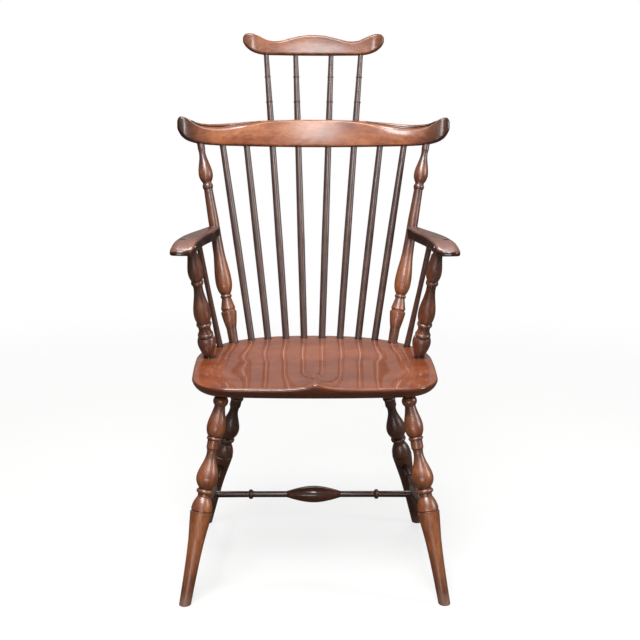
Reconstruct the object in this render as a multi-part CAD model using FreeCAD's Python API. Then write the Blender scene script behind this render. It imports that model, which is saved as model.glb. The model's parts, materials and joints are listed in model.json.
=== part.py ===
import FreeCAD, Part
import math
import os

# Windsor armchair with a fanned back, a bent crest rail and a small comb above it. Every piece is
# wood and every joint is a round tenon glued in a bored socket, so nothing on it moves.
# X runs to the viewer's right, Y from the front to the back, Z up from the floor. Left is the
# viewer's left. Depths are measured back from the front edge of the seat.

V = FreeCAD.Vector
os.makedirs("parts", exist_ok=True)

# Where the front edge of the seat stands, so that the chair is centred over the origin
SEAT_FRONT_Y = -254.1

# Seat. The legs and the pieces of the back are set out from its side and back edges.
SEAT_TOP = 447.0
SEAT_THICKNESS = 35.5
SEAT_HALF_WIDTH = 245.5
SEAT_DEPTH = 419.0
SEAT_FRONT_ARC = 1800.0
SEAT_CORNER_R = 80.0
SEAT_SHOULDER_R = 205.0
SEAT_BACK_ARC = 480.0
SEAT_TOP_ROUND = 5.0
SEAT_UNDER_ROUND = 30.0
SADDLE_DEPTH = 13.0
SADDLE_BACK = SEAT_DEPTH - 67.0
SADDLE_DEEPEST = SEAT_DEPTH - 204.0
SADDLE_SIDE_MARGIN = 20.0
SADDLE_SIDE_SLOPE = 105.0
SADDLE_FRONT_SHARE = 0.75
POMMEL_HALF_WIDTH = 34.0
POMMEL_LENGTH = 170.0

# Legs
LEG_TOP_FRONT = (SEAT_HALF_WIDTH - 61.5, 68.0)
LEG_TOP_REAR = (SEAT_HALF_WIDTH - 98.5, SEAT_DEPTH - 100.0)
FOOT_FRONT = (LEG_TOP_FRONT[0] + 73.5, LEG_TOP_FRONT[1] - 83.0)
FOOT_REAR = (LEG_TOP_REAR[0] + 97.0, LEG_TOP_REAR[1] + 110.0)
LEG_TENON_R = 11.0
LEG_TENON = 22.0
LEG_TOP_BEAD_R = 15.2
LEG_VASE_R = 18.8
LEG_BULB_R = 21.6
LEG_RING_R = 16.8
LEG_SHOULDER_R = 21.2
LEG_COLLAR_R = 22.0
LEG_FOOT_R = 11.4
FOOT_CHAMFER = 1.2

# Stretchers
STRETCHER_HEIGHT = 151.0
STRETCHER_END_R = 7.0
SIDE_SWELL_R = 15.0
MEDIAL_SWELL_R = 17.6
STRETCHER_SWELL_REACH = 57.0
STRETCHER_BEAD_R = 10.4
MEDIAL_BEAD_AT = 133.0
SIDE_BEAD_AT = 105.0
STRETCHER_NECK_STEP = 0.4
SIDE_END_INSET = 4.0
MEDIAL_END_INSET = 3.0

# Back
BACK_RAKE = 11.0
SPINDLE_ROW = SEAT_DEPTH - 22.0
SPINDLE_ROW_R = 450.0
SPINDLE_SEAT_X = (20.0, 60.0, 100.0, 136.0)
SPINDLE_CREST_X = (33.0, 90.0, 147.0, 199.0)
LONG_SPINDLES = 2
SPINDLE_SEAT_R = 7.6
SPINDLE_BELLY_R = 8.1
SHORT_SPINDLE_TOP_R = 6.8
LONG_SPINDLE_CREST_R = 7.1
LONG_SPINDLE_TOP_R = 5.5
SPINDLE_TENON = 24.0
SPINDLE_NECK_RISE = 8.0
STILE_SEAT = (SEAT_HALF_WIDTH - 71.5, SEAT_DEPTH - 67.0)
STILE_CREST_X = SEAT_HALF_WIDTH + 0.5
STILE_SEAT_R = 10.3
STILE_LOW_VASE_R = 17.2
STILE_MID_VASE_R = 17.9
STILE_ARM_R = 11.5
STILE_TOP_VASE_R = 15.2
STILE_CREST_R = 8.0
STILE_TENON = 24.0

# Crest rail and comb
CREST_RISE = 423.0
CREST_R = 725.0
CREST_THICKNESS = 24.0
CREST_HEIGHT = 60.0
CREST_EAR_X = STILE_CREST_X + 49.5
COMB_RISE = 625.5
COMB_THICKNESS = 20.0
COMB_HEIGHT = 45.0
COMB_EAR_X = 155.5
BOARD_ROUND = 5.0
QUARTER_ROUND = math.sqrt(2) - 1

# Arms
ARM_TOP = 699.0
ARM_THICKNESS = 23.0
ARM_WIDTH = 51.0
ARM_FRONT_DROP = 10.0
ARM_TOP_ROUND = 7.5
ARM_UNDER_ROUND = 3.5
ARM_TENON_R = 5.5
ARM_TENON = 13.0
POST_SEAT = (SEAT_HALF_WIDTH - 26.5, SEAT_DEPTH - 201.0)
POST_ARM = (POST_SEAT[0] + 26.0, POST_SEAT[1] - 65.0)
POST_SEAT_R = 11.0
POST_LOW_BULB_R = 19.2
POST_VASE_R = 17.6
POST_CAP_R = 15.8
POST_TENON_R = 9.0
POST_TENON = 15.0
ARM_SPINDLE_SEAT = (SEAT_HALF_WIDTH - 43.5, SEAT_DEPTH - 106.0)
ARM_SPINDLE_ARM = (ARM_SPINDLE_SEAT[0] + 36.0, ARM_SPINDLE_SEAT[1] - 73.0)
ARM_SPINDLE_SEAT_R = 6.8
ARM_SPINDLE_WAIST_R = 5.3
ARM_SPINDLE_TOP_R = 6.0
ARM_SPINDLE_TENON = 14.0
PEG_AT = (38.0, 27.0)
PEG_R = 4.5
PEG_LENGTH = 9.0
PEG_SUNK = 0.6

# How far a turned piece stays plain next to the face that its tenon goes into
PLAIN_END = 5.0

# The glue line around a tenon, the space past its end, how far a cutter runs past a face, and a
# size larger than the chair that the trimming boxes are made to
GLUE_GAP = 0.1
END_GAP = 0.3
CLEAR = 30.0
BEYOND = 2000.0


def at(place, height):
    """The point at a side distance and a depth behind the seat's front edge."""
    return V(place[0], SEAT_FRONT_Y + place[1], height)


def mirrored(shape):
    return shape.mirror(V(0, 0, 0), V(1, 0, 0))


def length_of(line):
    return line[1].sub(line[0]).Length


def at_height(start, end, height):
    """The point of the line through start and end at a height."""
    share = (height - start.z) / (end.z - start.z)
    return start.add(end.sub(start).multiply(share))


def above_floor():
    """A block that holds everything above the floor."""
    return Part.makeBox(BEYOND, BEYOND, BEYOND, V(-BEYOND / 2, -BEYOND / 2, 0))


def fitted(strokes, drawn, length):
    """Strokes drawn for one length, stretched to another. What lies past an end keeps its size."""
    def place(distance):
        inside = min(max(distance, 0), drawn)
        return inside * length / drawn + distance - inside

    return [[(place(distance), radius) for distance, radius in stroke] for stroke in strokes]


def turned(strokes, start, end):
    """A piece turned about the line from start to end.

    Each stroke goes on from the last point of the one before it, through points of distance along
    the line and radius. One point makes a straight stroke, two make an arc, more a smooth curve.
    """
    here = strokes[0][0]
    edges = [Part.makeLine(V(0, 0, here[0]), V(here[1], 0, here[0]))]
    for stroke in strokes[1:]:
        points = [V(radius, 0, distance) for distance, radius in [here] + stroke]
        if len(points) == 2:
            edges.append(Part.makeLine(points[0], points[1]))
        elif len(points) == 3:
            edges.append(Part.Arc(points[0], points[1], points[2]).toShape())
        else:
            curve = Part.BSplineCurve()
            curve.interpolate(points)
            edges.append(curve.toShape())
        here = stroke[-1]
    edges.append(Part.makeLine(V(here[1], 0, here[0]), V(0, 0, here[0])))
    edges.append(Part.makeLine(V(0, 0, here[0]), V(0, 0, strokes[0][0][0])))
    solid = Part.Face(Part.Wire(edges)).revolve(V(0, 0, 0), V(0, 0, 1), 360)
    solid.Placement = FreeCAD.Placement(start, FreeCAD.Rotation(V(0, 0, 1), end.sub(start)))
    return solid


def bore(start, end, near, far, radius):
    """The cutter of a socket on the line from start to end, between two distances along it."""
    axis = end.sub(start)
    axis.normalize()
    return Part.makeCylinder(radius + GLUE_GAP, far - near, start.add(V(axis).multiply(near)), axis)


def curve_through(points):
    curve = Part.BSplineCurve()
    curve.interpolate(points, PeriodicFlag=True)
    return Part.Wire([curve.toShape()])


# The lines of the right-hand legs, from the underside of the seat to the floor
seat_underside = SEAT_TOP - SEAT_THICKNESS
front_leg_line = (at(LEG_TOP_FRONT, seat_underside), at(FOOT_FRONT, 0))
rear_leg_line = (at(LEG_TOP_REAR, seat_underside), at(FOOT_REAR, 0))


def leg(top, foot):
    """A turned leg: bead, vase, ring, neck, bulb, ring, flared collar and a long taper."""
    drawn = 426
    strokes = [
        [(-LEG_TENON, LEG_TENON_R)],
        [(7, LEG_TENON_R)],
        [(16, LEG_TOP_BEAD_R), (25, 11.6)],
        [(27, 10.8)],
        [(47, 15.2), (68, LEG_VASE_R), (87, 13.6)],
        [(88, 12.2)],
        [(91.5, 14.8), (95, 12.2)],
        [(111, 12.2)],
        [(114, 10.6)],
        [(135, 11.8), (168, LEG_BULB_R), (191, 13.4)],
        [(192.5, 12.6)],
        [(197.5, LEG_RING_R), (202.5, 12.8)],
        [(209, 12.8)],
        [(222, 19.0), (235, LEG_SHOULDER_R)],
        [(236.5, 19.8)],
        [(238, 19.8)],
        [(239.5, LEG_COLLAR_R)],
        [(258, 20.2), (290, 16.8), (330, 14.2), (drawn + 10, LEG_FOOT_R)],
    ]
    blank = turned(fitted(strokes, drawn, foot.sub(top).Length), top, foot)
    trimmed = blank.common(above_floor())
    rim = [edge for edge in trimmed.Edges if edge.BoundBox.ZMax < 0.01]
    return trimmed.makeChamfer(FOOT_CHAMFER, rim)


# A side stretcher joins the front and rear leg of each side, and the medial one joins the two
# side stretchers at their swelled middles
side_line = (at_height(*front_leg_line, STRETCHER_HEIGHT), at_height(*rear_leg_line, STRETCHER_HEIGHT))
side_middle = side_line[0].add(side_line[1]).multiply(0.5)
medial_line = (V(-side_middle.x, side_middle.y, side_middle.z), side_middle)


def stretcher(line, swell_r, bead_at, end_inset):
    """A slender turned stretcher with a swelled middle and a bead on each side of it."""
    half = length_of(line) / 2
    neck = STRETCHER_END_R - STRETCHER_NECK_STEP
    shoulder = neck + 0.7 * (swell_r - neck)
    reach = STRETCHER_SWELL_REACH
    strokes = [
        [(end_inset, STRETCHER_END_R)],
        [(half - bead_at - 5, neck)],
        [(half - bead_at, STRETCHER_BEAD_R), (half - bead_at + 5, neck)],
        [(half - reach, neck)],
        [(half - reach / 2, shoulder), (half, swell_r), (half + reach / 2, shoulder),
         (half + reach, neck)],
        [(half + bead_at - 5, neck)],
        [(half + bead_at, STRETCHER_BEAD_R), (half + bead_at + 5, neck)],
        [(2 * half - end_inset, STRETCHER_END_R)],
    ]
    return turned(strokes, *line)


# The back leans by one rake. Its frame has X across, Y through the boards and Z up the rake.
rake = FreeCAD.Rotation(V(1, 0, 0), -BACK_RAKE)
up_the_back = rake.multVec(V(0, 0, 1))
row_centre = at((0, SPINDLE_ROW), SEAT_TOP)
crest_centre = row_centre.add(V(up_the_back).multiply(CREST_RISE))
comb_middle = row_centre.add(V(up_the_back).multiply(COMB_RISE))


def drop(radius, x):
    """How far an arc of this radius has come forward at a distance x from its middle."""
    return radius - math.sqrt(radius * radius - x * x)


def board_point(centre, radius, x, rise):
    """The point in the middle of a bent board's thickness."""
    return centre.add(rake.multVec(V(x, -drop(radius, x), rise)))


def spindle_line(index):
    """The line of a spindle on the right, from the seat to the underside of the crest rail."""
    seat_x = SPINDLE_SEAT_X[index]
    foot = at((seat_x, SPINDLE_ROW - drop(SPINDLE_ROW_R, seat_x)), SEAT_TOP)
    return foot, board_point(crest_centre, CREST_R, SPINDLE_CREST_X[index], 0)


def meet_comb(foot, crest):
    """Where a long spindle's line reaches the underside of the comb."""
    climb = crest.sub(foot).dot(up_the_back)
    share = comb_middle.sub(foot).dot(up_the_back) / climb
    return foot.add(crest.sub(foot).multiply(share))


# The comb is bent so that the middle of its thickness runs through the long spindles
inner, outer = [
    rake.inverted().multVec(meet_comb(*spindle_line(index)).sub(comb_middle))
    for index in range(LONG_SPINDLES)
]
comb_r = (outer.x ** 2 - inner.x ** 2) / (2 * (inner.y - outer.y))
comb_centre = comb_middle.add(rake.multVec(V(0, inner.y + drop(comb_r, inner.x), 0)))

stile_line = (at(STILE_SEAT, SEAT_TOP), board_point(crest_centre, CREST_R, STILE_CREST_X, 0))


def stile():
    """A back post: two vases below the arm, a plain stretch that carries it, a vase above."""
    drawn = 430
    strokes = [
        [(-STILE_TENON, STILE_SEAT_R)],
        [(PLAIN_END, STILE_SEAT_R)],
        [(31, 11.0)],
        [(50, 15.0), (66, STILE_LOW_VASE_R)],
        [(69, 14.4)],
        [(71.5, 14.4)],
        [(73, 16.0)],
        [(96, 10.2)],
        [(100.5, 12.4), (104, 10.2)],
        [(118, 16.4), (134, STILE_MID_VASE_R), (165, 15.4), (200, 12.2)],
        [(222, STILE_ARM_R)],
        [(266, STILE_ARM_R)],
        [(333, 9.6)],
        [(339, 11.6), (345, 9.6)],
        [(348, 9.8)],
        [(362, STILE_TOP_VASE_R), (388, 11.6), (drawn - 10, STILE_CREST_R)],
        [(drawn + STILE_TENON, STILE_CREST_R)],
    ]
    return turned(fitted(strokes, drawn, length_of(stile_line)), *stile_line)


def spindle_strokes(length, top_r):
    """A spindle's own shape between the seat and the crest rail, fattest at half its length."""
    return [
        [(-SPINDLE_TENON, SPINDLE_SEAT_R)],
        [(PLAIN_END, SPINDLE_SEAT_R)],
        [(length / 2, SPINDLE_BELLY_R)],
        [(length - PLAIN_END, top_r)],
    ]


def short_spindle(line):
    length = length_of(line)
    return turned(spindle_strokes(length, SHORT_SPINDLE_TOP_R)
                  + [[(length + SPINDLE_TENON, SHORT_SPINDLE_TOP_R)]], *line)


def long_spindle(line):
    """A spindle that passes through the crest rail and goes on, thinner, to the comb."""
    length = length_of(line)
    whole = meet_comb(*line).sub(line[0]).Length
    strokes = spindle_strokes(length, LONG_SPINDLE_CREST_R)
    strokes += [
        [(length + CREST_HEIGHT + SPINDLE_NECK_RISE, LONG_SPINDLE_CREST_R)],
        [(whole - PLAIN_END, LONG_SPINDLE_TOP_R)],
        [(whole + SPINDLE_TENON, LONG_SPINDLE_TOP_R)],
    ]
    return turned(strokes, *line)


def board_section(radius, edge_round, x, low, high, thickness, front_cut, fullness=QUARTER_ROUND):
    """One cross-section of a bent board, with its own cut along the front of the top.

    The fullness of that cut is how far it stands out from a straight bevel towards the square
    corner. Below zero the cut is a hollow.
    """
    turn = math.asin(x / radius)
    middle = V(x, -drop(radius, x), 0)
    half = thickness / 2
    edge = min(edge_round, 0.4 * thickness, 0.4 * (high - low))
    front = max(edge, min(front_cut, thickness - edge - 1))

    def point(through, rise):
        return middle.add(V(through * math.sin(turn), through * math.cos(turn), rise))

    def line(a, b):
        return Part.makeLine(point(*a), point(*b))

    def arc(start, end, corner, full=QUARTER_ROUND):
        bevel = [(start[0] + end[0]) / 2, (start[1] + end[1]) / 2]
        middle = [flat + full * (square - flat) for flat, square in zip(bevel, corner)]
        return Part.Arc(point(*start), point(*middle), point(*end)).toShape()

    a, b = (-half, low + edge), (edge - half, low)
    c, d = (half - edge, low), (half, low + edge)
    e, f = (half, high - edge), (half - edge, high)
    g, h = (front - half, high), (-half, high - front)
    return Part.Wire([
        arc(a, b, (-half, low)), line(b, c), arc(c, d, (half, low)), line(d, e),
        arc(e, f, (half, high)), line(f, g), arc(g, h, (-half, high), fullness), line(h, a),
    ])


def bent_board(centre, radius, edge_round, stations):
    """A bent board lofted through the stations of its right half and their mirror images."""
    left = [(-station[0],) + station[1:] for station in reversed(stations[1:])]
    sections = [board_section(radius, edge_round, *station) for station in left + stations]
    board = Part.makeLoft(sections, True)
    board.Placement = FreeCAD.Placement(centre, rake)
    return board


def crest_rail():
    """The bent crest rail: high in the middle, hollowed at its top front, with upturned ears."""
    t = CREST_THICKNESS
    stations = [
        (0, 0, CREST_HEIGHT, t, 6.5),
        (60, 0, CREST_HEIGHT - 0.8, t, 6.5),
        (112, 0, CREST_HEIGHT - 3, t, 9, 0.12),
        (165, 0, CREST_HEIGHT - 8, t, 15.5, -0.2),
        (212, 0, CREST_HEIGHT - 13, t, 17, -0.25),
        (248, 1.8, CREST_HEIGHT - 13.2, t, 13, -0.12),
        (270, 7, CREST_HEIGHT - 7.5, t - 0.5, 9, 0.15),
        (283, 14.5, CREST_HEIGHT - 1.8, t - 3, 7.5),
        (290.5, 23.5, CREST_HEIGHT - 2.2, t - 8, 6.5),
        (CREST_EAR_X, 33, CREST_HEIGHT - 9, t - 16, 3),
    ]
    return bent_board(crest_centre, CREST_R, BOARD_ROUND, stations)


def comb():
    """The comb above the crest rail: the same form made smaller, with longer ears."""
    t = COMB_THICKNESS
    stations = [
        (0, 0, COMB_HEIGHT, t, 6),
        (26, 0, COMB_HEIGHT - 2, t, 6),
        (52, 0, COMB_HEIGHT - 8, t, 7.5, 0.1),
        (78, 0, COMB_HEIGHT - 14, t, 9, -0.2),
        (99, 0, COMB_HEIGHT - 13, t, 9, -0.2),
        (119, 1.8, COMB_HEIGHT - 5.2, t, 7.5, 0.1),
        (136, 7.5, COMB_HEIGHT + 0.6, t - 1, 6.5),
        (148.5, 16.5, COMB_HEIGHT - 0.2, t - 4.5, 6),
        (COMB_EAR_X, 26, COMB_HEIGHT - 6.5, t - 12.5, 3),
    ]
    return bent_board(comb_centre, comb_r, BOARD_ROUND, stations)


def seat_outline():
    """The seat's plan: a bowed front, round corners, straight sides and a broad round back."""
    w = SEAT_HALF_WIDTH
    corner_x = w - SEAT_CORNER_R
    front_c = SEAT_FRONT_ARC
    corner_y = front_c - math.sqrt((SEAT_FRONT_ARC - SEAT_CORNER_R) ** 2 - corner_x ** 2)
    lean = math.asin(corner_x / (SEAT_FRONT_ARC - SEAT_CORNER_R))
    front_end = (SEAT_FRONT_ARC * math.sin(lean), front_c - SEAT_FRONT_ARC * math.cos(lean))
    half = (lean + math.pi / 2) / 2
    corner_mid = (corner_x + SEAT_CORNER_R * math.sin(half), corner_y - SEAT_CORNER_R * math.cos(half))
    back_c = SEAT_DEPTH - SEAT_BACK_ARC
    shoulder_x = w - SEAT_SHOULDER_R
    shoulder_y = back_c + math.sqrt((SEAT_BACK_ARC - SEAT_SHOULDER_R) ** 2 - shoulder_x ** 2)
    turn = math.asin(shoulder_x / (SEAT_BACK_ARC - SEAT_SHOULDER_R))
    back_end = (SEAT_BACK_ARC * math.sin(turn), back_c + SEAT_BACK_ARC * math.cos(turn))
    half = (turn + math.pi / 2) / 2
    shoulder_mid = (shoulder_x + SEAT_SHOULDER_R * math.sin(half),
                    shoulder_y + SEAT_SHOULDER_R * math.cos(half))

    def point(place, side):
        return at((side * place[0], place[1]), seat_underside)

    def arc(a, b, c):
        return Part.Arc(a, b, c).toShape()

    edges = [arc(point(front_end, -1), point((0, 0), 1), point(front_end, 1))]
    edges.append(arc(point(front_end, 1), point(corner_mid, 1), point((w, corner_y), 1)))
    edges.append(Part.makeLine(point((w, corner_y), 1), point((w, shoulder_y), 1)))
    edges.append(arc(point((w, shoulder_y), 1), point(shoulder_mid, 1), point(back_end, 1)))
    edges.append(arc(point(back_end, 1), point((0, SEAT_DEPTH), 1), point(back_end, -1)))
    edges.append(arc(point(back_end, -1), point(shoulder_mid, -1), point((w, shoulder_y), -1)))
    edges.append(Part.makeLine(point((w, shoulder_y), -1), point((w, corner_y), -1)))
    edges.append(arc(point((w, corner_y), -1), point(corner_mid, -1), point(front_end, -1)))
    return Part.Wire(edges)


def smooth_step(value):
    """Zero below 0, one above 1 and a smooth rise between."""
    value = min(1.0, max(0.0, value))
    return value * value * value * (value * (6 * value - 15) + 10)


def saddle_drop(x, depth):
    """How deep the saddle is carved at a place on the seat."""
    across = smooth_step((SEAT_HALF_WIDTH - SADDLE_SIDE_MARGIN - abs(x)) / SADDLE_SIDE_SLOPE)
    if depth > SADDLE_DEEPEST:
        lengthways = smooth_step((SADDLE_BACK - depth) / (SADDLE_BACK - SADDLE_DEEPEST))
    else:
        fade = smooth_step((SADDLE_DEEPEST - depth) / SADDLE_DEEPEST)
        lengthways = 1.0 - (1.0 - SADDLE_FRONT_SHARE) * fade
    ridge = math.exp(-(x / POMMEL_HALF_WIDTH) ** 2)
    pommel = ridge * smooth_step((POMMEL_LENGTH - depth) / POMMEL_LENGTH)
    return SADDLE_DEPTH * across * lengthways * (1.0 - pommel)


def saddle_cutter():
    """Everything above the carved top of the seat."""
    columns, rows = 27, 21
    overhang = 12.0
    grid = []
    for column in range(columns):
        x = (2.0 * column / (columns - 1) - 1.0) * (SEAT_HALF_WIDTH + overhang)
        line = []
        for row in range(rows):
            depth = -overhang + (SEAT_DEPTH + 2 * overhang) * row / (rows - 1)
            line.append(at((x, depth), SEAT_TOP - saddle_drop(x, depth)))
        grid.append(line)
    surface = Part.BSplineSurface()
    surface.interpolate(grid)
    return surface.toShape().extrude(V(0, 0, SEAT_THICKNESS))


def seat():
    blank = Part.Face(seat_outline()).extrude(V(0, 0, SEAT_THICKNESS + CLEAR / 2))
    bottom = [edge for edge in blank.Edges if edge.BoundBox.ZMax < seat_underside + 1]
    carved = blank.makeFillet(SEAT_UNDER_ROUND, bottom).cut(saddle_cutter())
    top = [edge for edge in carved.Edges if edge.BoundBox.ZMin > SEAT_TOP - SADDLE_DEPTH - 1]
    return carved.makeFillet(SEAT_TOP_ROUND, top)


# An arm lies over its post and runs back to the stile. Its plan is set out along that line, from
# over the post, with the outer side positive.
arm_middle = ARM_TOP - ARM_THICKNESS / 2
arm_back = at_height(*stile_line, arm_middle)
arm_front = at(POST_ARM, arm_middle)
arm_length = arm_back.sub(arm_front).Length
arm_along = arm_back.sub(arm_front).normalize()
arm_aside = V(arm_along.y, -arm_along.x, 0)


def arm_place(along, aside, height):
    place = arm_front.add(V(arm_along).multiply(along)).add(V(arm_aside).multiply(aside))
    return V(place.x, place.y, height)


def arm_top_cutter():
    """Everything above an arm's top, which is level at the back and drops in front of the post."""
    slope = Part.BSplineCurve()
    slope.interpolate([
        arm_place(along, -ARM_WIDTH, ARM_TOP - share * ARM_FRONT_DROP)
        for along, share in ((-80, 2.1), (-62, 1.5), (-47, 1), (-30, 0.48), (-12, 0.12), (6, 0))
    ], Tangents=[V(), V(), V(), V(), V(), arm_along], TangentFlags=[False] * 5 + [True])
    start, end = slope.value(slope.FirstParameter), slope.value(slope.LastParameter)
    back = end.add(V(arm_along).multiply(arm_length + CLEAR))
    above = V(0, 0, 2 * CLEAR)
    profile = Part.Wire([
        slope.toShape(), Part.makeLine(end, back), Part.makeLine(back, back.add(above)),
        Part.makeLine(back.add(above), start.add(above)), Part.makeLine(start.add(above), start)])
    return Part.Face(profile).extrude(V(arm_aside).multiply(3 * ARM_WIDTH))


def arm():
    """The right arm: a paddle that slopes down in front, narrowing to an end scooped to the stile."""
    drawn, drawn_width = 248, 51
    plan = [
        (-43, 4), (-47.5, 19), (-45.5, 31), (-35, 38.7), (-8, 41), (42, 43.5), (90, 42.5),
        (130, 37), (165, 29.5), (200, 22), (drawn - 22, 16), (drawn - 7, 10), (drawn - 3, -1),
        (drawn - 12, -12), (drawn - 44, -13), (170, -12.5), (135, -9), (100, -5), (60, -4),
        (10, -5.5), (-20, -7.5), (-36, -5),
    ]
    stretch, widen = arm_length / drawn, ARM_WIDTH / drawn_width
    wire = curve_through([
        arm_place(along * stretch, aside * widen, ARM_TOP - ARM_THICKNESS) for along, aside in plan])
    blank = Part.Face(wire).extrude(V(0, 0, ARM_THICKNESS + CLEAR)).cut(arm_top_cutter())
    top = [edge for edge in blank.Edges if edge.BoundBox.ZMin > ARM_TOP - ARM_THICKNESS + 1]
    blank = blank.makeFillet(ARM_TOP_ROUND, top)
    under = [edge for edge in blank.Edges if edge.BoundBox.ZMax < ARM_TOP - ARM_THICKNESS + 1]
    blank = blank.makeFillet(ARM_UNDER_ROUND, under)
    blank = blank.cut(bore(*stile_line, 0, length_of(stile_line), STILE_ARM_R))
    start = arm_length - STILE_ARM_R - ARM_TENON / 2
    tenon = Part.makeCylinder(
        ARM_TENON_R, arm_tenon_end - start, arm_place(start, 0, arm_middle), arm_along)
    return blank.fuse(tenon)


arm_tenon_end = arm_length - STILE_ARM_R + ARM_TENON
post_line = (at(POST_SEAT, SEAT_TOP), at(POST_ARM, ARM_TOP - ARM_THICKNESS))
arm_spindle_line = (at(ARM_SPINDLE_SEAT, SEAT_TOP), at(ARM_SPINDLE_ARM, ARM_TOP - ARM_THICKNESS))


def arm_post():
    """The turned post under the front of an arm, cut off level under the arm above its cap."""
    drawn = 239
    strokes = [
        [(-SPINDLE_TENON, POST_SEAT_R)],
        [(PLAIN_END, POST_SEAT_R)],
        [(28, 18.2), (38, POST_LOW_BULB_R), (49, 16.2)],
        [(50, 14.0)],
        [(54.5, 16.2), (59, 14.0)],
        [(66, 12.2)],
        [(74, 13.2)],
        [(78.5, 15.8), (83, 13.4)],
        [(100, POST_VASE_R), (135, 13.2), (168, 10.0)],
        [(174, 12.8), (179, 11.2)],
        [(196, POST_CAP_R), (222, 13.2), (drawn + 12, 12.2)],
    ]
    length = length_of(post_line)
    blank = turned(fitted(strokes, drawn, length), *post_line)
    blank = blank.cut(above_floor().translate(V(0, 0, post_line[1].z)))
    tenon = turned([[(length - POST_TENON, POST_TENON_R)], [(length + POST_TENON, POST_TENON_R)]],
                   *post_line)
    return blank.fuse(tenon)


def arm_spindle():
    """The thin spindle under the middle of an arm, waisted between its two ends."""
    length = length_of(arm_spindle_line)
    strokes = [
        [(-SPINDLE_TENON, ARM_SPINDLE_SEAT_R)],
        [(PLAIN_END, ARM_SPINDLE_SEAT_R)],
        [(length / 4, (ARM_SPINDLE_SEAT_R + ARM_SPINDLE_WAIST_R) / 2)],
        [(0.55 * length, ARM_SPINDLE_WAIST_R)],
        [(length - PLAIN_END, ARM_SPINDLE_TOP_R)],
        [(length + ARM_SPINDLE_TENON, ARM_SPINDLE_TOP_R)],
    ]
    return turned(strokes, *arm_spindle_line)


def arm_peg():
    """The small round plug let into the top of an arm, a little below its surface."""
    return Part.makeCylinder(PEG_R, PEG_LENGTH, arm_place(*PEG_AT, ARM_TOP - PEG_SUNK - PEG_LENGTH))


def peg_bore():
    base = arm_place(*PEG_AT, ARM_TOP - PEG_SUNK - PEG_LENGTH - END_GAP)
    return Part.makeCylinder(PEG_R + GLUE_GAP, CLEAR, base)


def seat_bore(line, radius, depth):
    """The socket that a piece standing on the seat is glued in."""
    return bore(*line, -depth - END_GAP, CLEAR, radius)


def top_bore(line, radius, depth):
    """The socket at the upper end of a line."""
    return bore(*line, length_of(line) - CLEAR, length_of(line) + depth + END_GAP, radius)


spindle_lines = [spindle_line(index) for index in range(len(SPINDLE_SEAT_X))]
seat_bores = [
    seat_bore(front_leg_line, LEG_TENON_R, LEG_TENON),
    seat_bore(rear_leg_line, LEG_TENON_R, LEG_TENON),
    seat_bore(stile_line, STILE_SEAT_R, STILE_TENON),
    seat_bore(post_line, POST_SEAT_R, SPINDLE_TENON),
    seat_bore(arm_spindle_line, ARM_SPINDLE_SEAT_R, SPINDLE_TENON),
]
seat_bores += [seat_bore(line, SPINDLE_SEAT_R, SPINDLE_TENON) for line in spindle_lines]

crest_bores = [top_bore(stile_line, STILE_CREST_R, STILE_TENON)]
comb_bores = []
right = {}
for index, line in enumerate(spindle_lines):
    if index < LONG_SPINDLES:
        long_line = (line[0], meet_comb(*line))
        right[f"long_spindle_{index + 1}"] = long_spindle(line)
        crest_bores.append(top_bore(line, LONG_SPINDLE_CREST_R, CREST_HEIGHT + CLEAR))
        comb_bores.append(top_bore(long_line, LONG_SPINDLE_TOP_R, SPINDLE_TENON))
    else:
        right[f"short_spindle_{index + 1 - LONG_SPINDLES}"] = short_spindle(line)
        crest_bores.append(top_bore(line, SHORT_SPINDLE_TOP_R, SPINDLE_TENON))

side_length = length_of(side_line)
right["front_leg"] = leg(*front_leg_line).cut(
    bore(*side_line, SIDE_END_INSET - END_GAP, 2 * CLEAR, STRETCHER_END_R))
right["rear_leg"] = leg(*rear_leg_line).cut(
    bore(*side_line, side_length - 2 * CLEAR, side_length - SIDE_END_INSET + END_GAP, STRETCHER_END_R))
right["side_stretcher"] = stretcher(side_line, SIDE_SWELL_R, SIDE_BEAD_AT, SIDE_END_INSET).cut(
    bore(*medial_line[::-1], MEDIAL_END_INSET - END_GAP, CLEAR, STRETCHER_END_R))
tenon_room = Part.makeCylinder(
    ARM_TENON_R + GLUE_GAP, 2 * CLEAR, arm_place(arm_tenon_end + END_GAP - 2 * CLEAR, 0, arm_middle),
    arm_along)
right["back_post"] = stile().cut(tenon_room)
right["arm_post"] = arm_post()
right["arm_spindle"] = arm_spindle()
right["arm_peg"] = arm_peg()
arm_bores = [
    top_bore(post_line, POST_TENON_R, POST_TENON),
    top_bore(arm_spindle_line, ARM_SPINDLE_TOP_R, ARM_SPINDLE_TENON),
    peg_bore(),
]
right["arm"] = arm().cut(arm_bores)

nodes = {
    "seat": seat().cut(seat_bores + [mirrored(cutter) for cutter in seat_bores]),
    "crest_rail": crest_rail().cut(crest_bores + [mirrored(cutter) for cutter in crest_bores]),
    "comb": comb().cut(comb_bores + [mirrored(cutter) for cutter in comb_bores]),
    "medial_stretcher": stretcher(medial_line, MEDIAL_SWELL_R, MEDIAL_BEAD_AT, MEDIAL_END_INSET),
}
for name, shape in right.items():
    nodes["right_" + name] = shape
    nodes["left_" + name] = mirrored(shape)

whole = Part.makeCompound(list(nodes.values()))
for name, shape in nodes.items():
    shape.exportStep(f"parts/{name}.step")
    print(name, len(shape.Solids), shape.isValid(), round(shape.Volume / 1000, 1))
print("whole", whole.BoundBox)
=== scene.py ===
import json
import math

import bmesh
import bpy
import numpy as np
from mathutils import Matrix, Vector
from mathutils.bvhtree import BVHTree

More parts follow.
